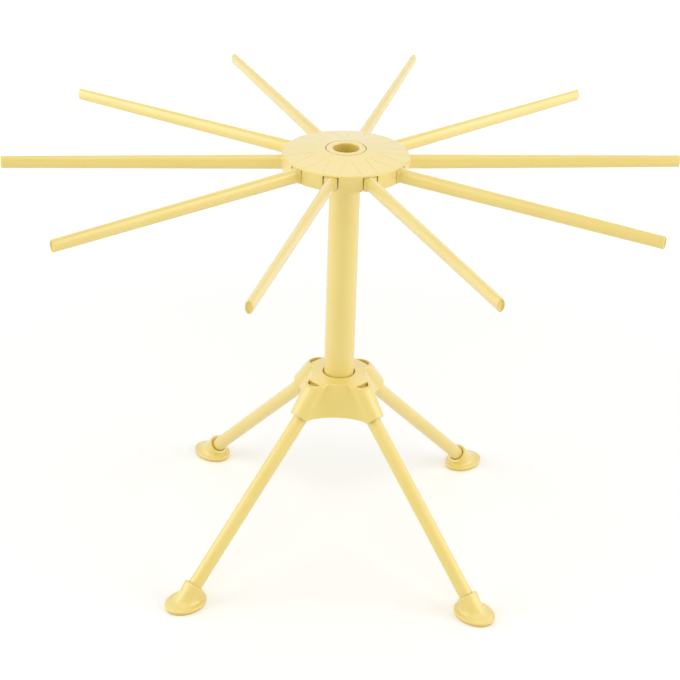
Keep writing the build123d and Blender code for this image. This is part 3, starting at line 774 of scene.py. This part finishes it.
def inner_distance(angle, z):
    """The wall from inside: the skirt less its thickness, or the lane that the leg swings in."""
    rise = np.clip(KNUCKLE_SPACE**2 - (z - LEG_PIN_LEVEL) ** 2, 0, None)
    over_leg = LEG_PIN_CIRCLE + LEG_PIN_LEVEL - z + ROOF_GAP * np.sqrt(2)
    reach = np.maximum(over_leg, LEG_PIN_CIRCLE + np.sqrt(rise)) / np.cos(angle)
    lane = np.minimum(CHANNEL_HALF / np.maximum(np.abs(np.sin(angle)), LEAST_SINE), reach)
    return np.maximum(skirt_distance(angle, z) - WALL_SLANT * BASE_WALL, lane)


def lower_edge(distance, angle):
    """Height where a wall ends: the bottom, or the plane square to the leg, by bisection."""
    low, high = np.full_like(angle, BASE_BOTTOM), np.full_like(angle, BASE_TOP)
    ends_low = distance(angle, low) * np.cos(angle) <= low + end_plane
    for _ in range(HALVINGS):
        middle = (low + high) / 2
        inside = distance(angle, middle) * np.cos(angle) <= middle + end_plane
        low, high = np.where(inside, low, middle), np.where(inside, middle, high)
    return np.where(ends_low, BASE_BOTTOM, high)


outer_low = lower_edge(outer_distance, off_leg)
inner_low = lower_edge(inner_distance, off_leg)
print("hoods end at heights up to", round(float(outer_low.max()), 2), "mm")

# %% [markdown]
# ## Rings of the base
# With the walls known, the base is a stack of rings that closes on itself: up the outside, over
# the rounded crown, in across the very shallow cone of the top, down into the post's socket,
# round the socket's floor with its screw hole, and back along the inner wall to the hem.

# %% Skin of the base
LAND_TOP, TOP_SLOPE, HEM_EASE, CROWN_ROUNDING = 134.0, 0.13, 0.4, 1.5
MOUTH_RADIUS, MOUTH_ROUNDING, MOUTH_DEPTH = 11.3, 0.6, 3.0
SOCKET_RADIUS, SOCKET_OUTER, SOCKET_FLOOR, SCREW_HOLE = 10.45, 13.1, 113.0, 1.75
ROOF_UNDER, ROOF_EASE = 131.3, 0.5
mouth = MOUTH_RADIUS + MOUTH_ROUNDING


def rings(distance, height):
    """Rings of points, one for each row: distance (cos t, sin t), height, t the azimuth."""
    distance, height, turn = np.broadcast_arrays(distance, height, base_turn)
    return np.stack([distance * np.cos(turn), distance * np.sin(turn), height], -1)


def top_height(distance):
    """The top is a very shallow cone: land height - slope * distance from the socket's mouth."""
    return LAND_TOP - TOP_SLOPE * (distance - mouth)


crown_edge = outer_distance(off_leg, BASE_TOP - CROWN_ROUNDING)
top_edge = crown_edge - CROWN_ROUNDING
crown_low = top_height(top_edge) - CROWN_ROUNDING
side_share = np.linspace(0, 1, 34)[:, None]
side_height = (outer_low + HEM_EASE) * (1 - side_share) + crown_low * side_share
crown_bend = np.radians([15, 30, 45, 60, 75, 90])[:, None]
wall_at_crown = outer_distance(off_leg, crown_low)
crown = wall_at_crown * (1 - np.sin(crown_bend)) + crown_edge * np.sin(crown_bend)
top_share = np.linspace(0, 1, 18)[1:, None]
top = top_edge * (1 - top_share) + mouth * top_share
mouth_bend = np.radians([22, 45, 67, 90])[:, None]
socket_profile = np.array(
    [
        [MOUTH_RADIUS, LAND_TOP - MOUTH_DEPTH],
        [SOCKET_RADIUS, LAND_TOP - MOUTH_DEPTH],
        [SOCKET_RADIUS, SOCKET_FLOOR],
        [SCREW_HOLE, SOCKET_FLOOR],
        [SCREW_HOLE, BASE_BOTTOM],
        [SOCKET_OUTER, BASE_BOTTOM],
        [SOCKET_OUTER, ROOF_UNDER - ROOF_EASE],
        [SOCKET_OUTER + ROOF_EASE, ROOF_UNDER],
    ]
)
inner_share = np.linspace(0, 1, 26)[1:, None]
inner_height = ROOF_UNDER * (1 - inner_share) + inner_low * inner_share
base_points = np.concatenate(
    [
        rings(outer_distance(off_leg, outer_low) - HEM_EASE, outer_low),
        rings(outer_distance(off_leg, side_height), side_height),
        rings(
            crown - CROWN_ROUNDING * (1 - np.cos(crown_bend)),
            crown_low + CROWN_ROUNDING * np.sin(crown_bend),
        ),
        rings(top, top_height(top)),
        rings(
            mouth - MOUTH_ROUNDING * np.sin(mouth_bend),
            LAND_TOP - MOUTH_ROUNDING * (1 - np.cos(mouth_bend)),
        ),
        rings(socket_profile[:, :1], socket_profile[:, 1:]),
        rings(inner_distance(off_leg, inner_height), inner_height),
    ]
)
base = add_skin("base_skin", base_points, yellow_plastic, rows_close=True)
print("base faces before the windows", len(base.data.polygons))

# %% [markdown]
# ## The windows
# Four crescent windows lie over the legs' heels, where the moulding tool needed a way in. A grid
# of quads can't run round such a hole, so an upright cutter with a crescent outline takes it out
# with a Boolean. The result is read from the evaluated piece and becomes its mesh, so that no
# modifier and no cutter are left behind.

# %% Crescent cutters over the heels of the legs
WINDOW_AT, WINDOW_RADIUS, WINDOW_WIDTH, EAR_RADIUS = 21.9, 5.7, 4.3, 60.0
ARC_POINTS, CUTTER_RISE = 33, 2.0


def crescent(azimuth):
    """Two arcs that share their ends: the window's circle outside, the ear's circle inside."""
    gap = EAR_RADIUS - WINDOW_RADIUS + WINDOW_WIDTH
    cross = (gap**2 + EAR_RADIUS**2 - WINDOW_RADIUS**2) / (2 * gap)
    half = np.arccos(cross / EAR_RADIUS)
    half_out = np.arctan2(EAR_RADIUS * np.sin(half), cross - gap)
    out = np.linspace(-half_out, half_out, ARC_POINTS)
    back = np.linspace(half, -half, ARC_POINTS)[1:-1]
    outer = np.stack([WINDOW_AT + WINDOW_RADIUS * np.cos(out), WINDOW_RADIUS * np.sin(out)], -1)
    inner = np.stack([WINDOW_AT - gap + EAR_RADIUS * np.cos(back), EAR_RADIUS * np.sin(back)], -1)
    outline = np.concatenate([outer, inner])
    return turned(np.hstack([outline, 0 * outline[:, :1]]), azimuth)


# Each cutter stands on the level of the leg pins: a floor that looks down, a lid, and walls
cutter_points, cutter_faces = [], []
for index in range(LEG_COUNT):
    outline = crescent(LEG_FIRST + index * LEG_STEP)
    count = len(outline)
    low = np.arange(count) + 2 * count * index
    high = low + count
    walls = np.stack([low, np.roll(low, -1), np.roll(high, -1), high], -1)
    cutter_points += [outline + [0, 0, LEG_PIN_LEVEL], outline + [0, 0, LAND_TOP + CUTTER_RISE]]
    cutter_faces += [low[::-1].tolist(), high.tolist()] + walls.tolist()
cutter_mesh = bpy.data.meshes.new("window_cutter")
cutter_mesh.from_pydata((np.concatenate(cutter_points) * MM).tolist(), [], cutter_faces)
cutter = bpy.data.objects.new("window_cutter", cutter_mesh)
scene.collection.objects.link(cutter)
print("cutter faces", len(cutter_mesh.polygons))

# %% Cut the windows and keep the result
cut = base.modifiers.new("windows", "BOOLEAN")
cut.operation, cut.object, cut.solver = "DIFFERENCE", cutter, "EXACT"
bpy.context.view_layer.update()
opened = bpy.data.meshes.new_from_object(base.evaluated_get(bpy.context.evaluated_depsgraph_get()))
base.modifiers.clear()
base.data = opened
opened.name = "base_skin"
opened.materials.clear()
opened.materials.append(yellow_plastic)
opened.set_sharp_from_angle(angle=np.radians(SHARP_DEGREES))
bpy.data.objects.remove(cutter)
finish_piece(base, "leg_base", "stand")
print("base faces", len(base.data.polygons))

# %% [markdown]
# ## The floor
# The photograph is a cut-out look on white. A floor that is only painted white stays grey where
# little light falls, and more light would bleach the object, so the floor glows a bit by itself.
# Near the object the glow is weak, which keeps the soft shadow, and it rises with distance until
# the floor is as white as the surround. The glow shows only on rays that show the background:
# from the camera, off gloss, or through something clear. So the object mirrors it and isn't
# lit by it.

# %% A plain white floor
FLOOR_HALF, FLOOR_STEPS = 6.0, 9
GLOW_NEAR, GLOW_FAR = 0.2, 0.75
GLOW_FROM, GLOW_TO = 0.4, 1.4


def shown_rays(tree):
    """1 on a ray that shows the background: from the camera, off gloss, or through clear stuff."""
    paths = add_node(tree, "ShaderNodeLightPath").outputs
    either = add_node(
        tree,
        "ShaderNodeMath",
        {0: paths["Is Camera Ray"], 1: paths["Is Glossy Ray"]},
        operation="MAXIMUM",
    )
    return add_node(
        tree,
        "ShaderNodeMath",
        {0: either.outputs[0], 1: paths["Is Transmission Ray"]},
        operation="MAXIMUM",
    ).outputs[0]


line = np.linspace(-FLOOR_HALF, FLOOR_HALF, FLOOR_STEPS)
x, y = np.meshgrid(line, line, indexing="ij")
floor_points = np.stack([x, y, 0 * x], -1).reshape(-1, 3)
i, j = np.meshgrid(np.arange(FLOOR_STEPS - 1), np.arange(FLOOR_STEPS - 1), indexing="ij")
corner = (i * FLOOR_STEPS + j).reshape(-1, 1)
floor_quads = corner + np.array([[0, FLOOR_STEPS, FLOOR_STEPS + 1, 1]])
floor_mesh = bpy.data.meshes.new("floor")
floor_mesh.from_pydata(floor_points.tolist(), [], floor_quads.tolist())
floor = bpy.data.objects.new("floor", floor_mesh)
scene.collection.objects.link(floor)

floor_white, tree = new_material("floor_white")
place = add_node(tree, "ShaderNodeTexCoord").outputs["Object"]
away = add_node(tree, "ShaderNodeVectorMath", {0: place}, operation="LENGTH")
glow_here = add_node(
    tree,
    "ShaderNodeMapRange",
    {
        "Value": away.outputs["Value"],
        "From Min": GLOW_FROM,
        "From Max": GLOW_TO,
        "To Min": GLOW_NEAR,
        "To Max": GLOW_FAR,
    },
)
glow_share = add_node(
    tree,
    "ShaderNodeMath",
    {0: shown_rays(tree), 1: glow_here.outputs["Result"]},
    operation="MULTIPLY",
    use_clamp=True,
)
matt = add_node(tree, "ShaderNodeBsdfDiffuse", {"Color": linear("#F4F4F2")})
glow = add_node(
    tree, "ShaderNodeEmission", {"Color": linear("#FFFFFF"), "Strength": glow_share.outputs[0]}
)
both = add_node(tree, "ShaderNodeAddShader", {0: matt.outputs[0], 1: glow.outputs[0]})
add_node(tree, "ShaderNodeOutputMaterial", {"Surface": both.outputs[0]})
floor_mesh.materials.append(floor_white)
print("floor across in m", round(floor.dimensions.x, 2))

# %% [markdown]
# ## The light
# Two wide soft boxes stand low at the left and the right and make the flanks of rods and legs
# pale. A weaker one above and behind lightens the tops, and one high over the camera keeps the
# faces that look at it from going dull. Small hard lamps would draw thin lines on the satin
# plastic, and the photograph shows only broad soft bands. The surround fills the shadows at half
# strength, and is plain white to every ray that shows the background.

# %% Soft boxes and the white surround
AIM, BOX_DISTANCE = np.array([0.0, 0.0, 0.2]), 1.6
FILL_STRENGTH, SHOWN_STRENGTH = 0.5, 1.0


def soft_box(name, place, width, height, watts):
    """Area lamp at a place, its face turned to AIM: its -z axis is the direction to AIM."""
    lamp = bpy.data.lights.new(name, "AREA")
    lamp.shape, lamp.size, lamp.size_y, lamp.energy = "RECTANGLE", width, height, watts
    back = (place - AIM) / np.linalg.norm(place - AIM)
    side = np.cross(upright, back)
    side = side / np.linalg.norm(side)
    turn = np.eye(4)
    turn[:3, 0], turn[:3, 1], turn[:3, 2], turn[:3, 3] = side, np.cross(back, side), back, place
    box = bpy.data.objects.new(name, lamp)
    box.matrix_world = Matrix(turn.tolist())
    scene.collection.objects.link(box)


# Azimuth and elevation round the object in degrees, width and height in metres, watts
boxes = {
    "soft_box_left": (192, 18, 1.4, 1.1, 9.8),
    "soft_box_right": (-12, 18, 1.4, 1.1, 9.8),
    "soft_box_behind": (90, 50, 1.4, 1.0, 3.2),
    "soft_box_camera": (270, 60, 1.0, 1.0, 4.0),
}
for name, (azimuth, elevation, width, height, watts) in boxes.items():
    a, e = np.radians([azimuth, elevation])
    way = np.array([np.cos(e) * np.cos(a), np.cos(e) * np.sin(a), np.sin(e)])
    soft_box(name, AIM + BOX_DISTANCE * way, width, height, watts)

surround = bpy.data.worlds.new("white_surround")
surround.use_nodes = True
tree = surround.node_tree
tree.nodes.clear()
white = linear("#FFFFFF")
fill = add_node(tree, "ShaderNodeBackground", {"Color": white, "Strength": FILL_STRENGTH})
shown = add_node(tree, "ShaderNodeBackground", {"Color": white, "Strength": SHOWN_STRENGTH})
pick = add_node(
    tree, "ShaderNodeMixShader", {0: shown_rays(tree), 1: fill.outputs[0], 2: shown.outputs[0]}
)
add_node(tree, "ShaderNodeOutputWorld", {"Surface": pick.outputs[0]})
scene.world = surround
scene.view_settings.view_transform = "Standard"
print("lamps", len(boxes))
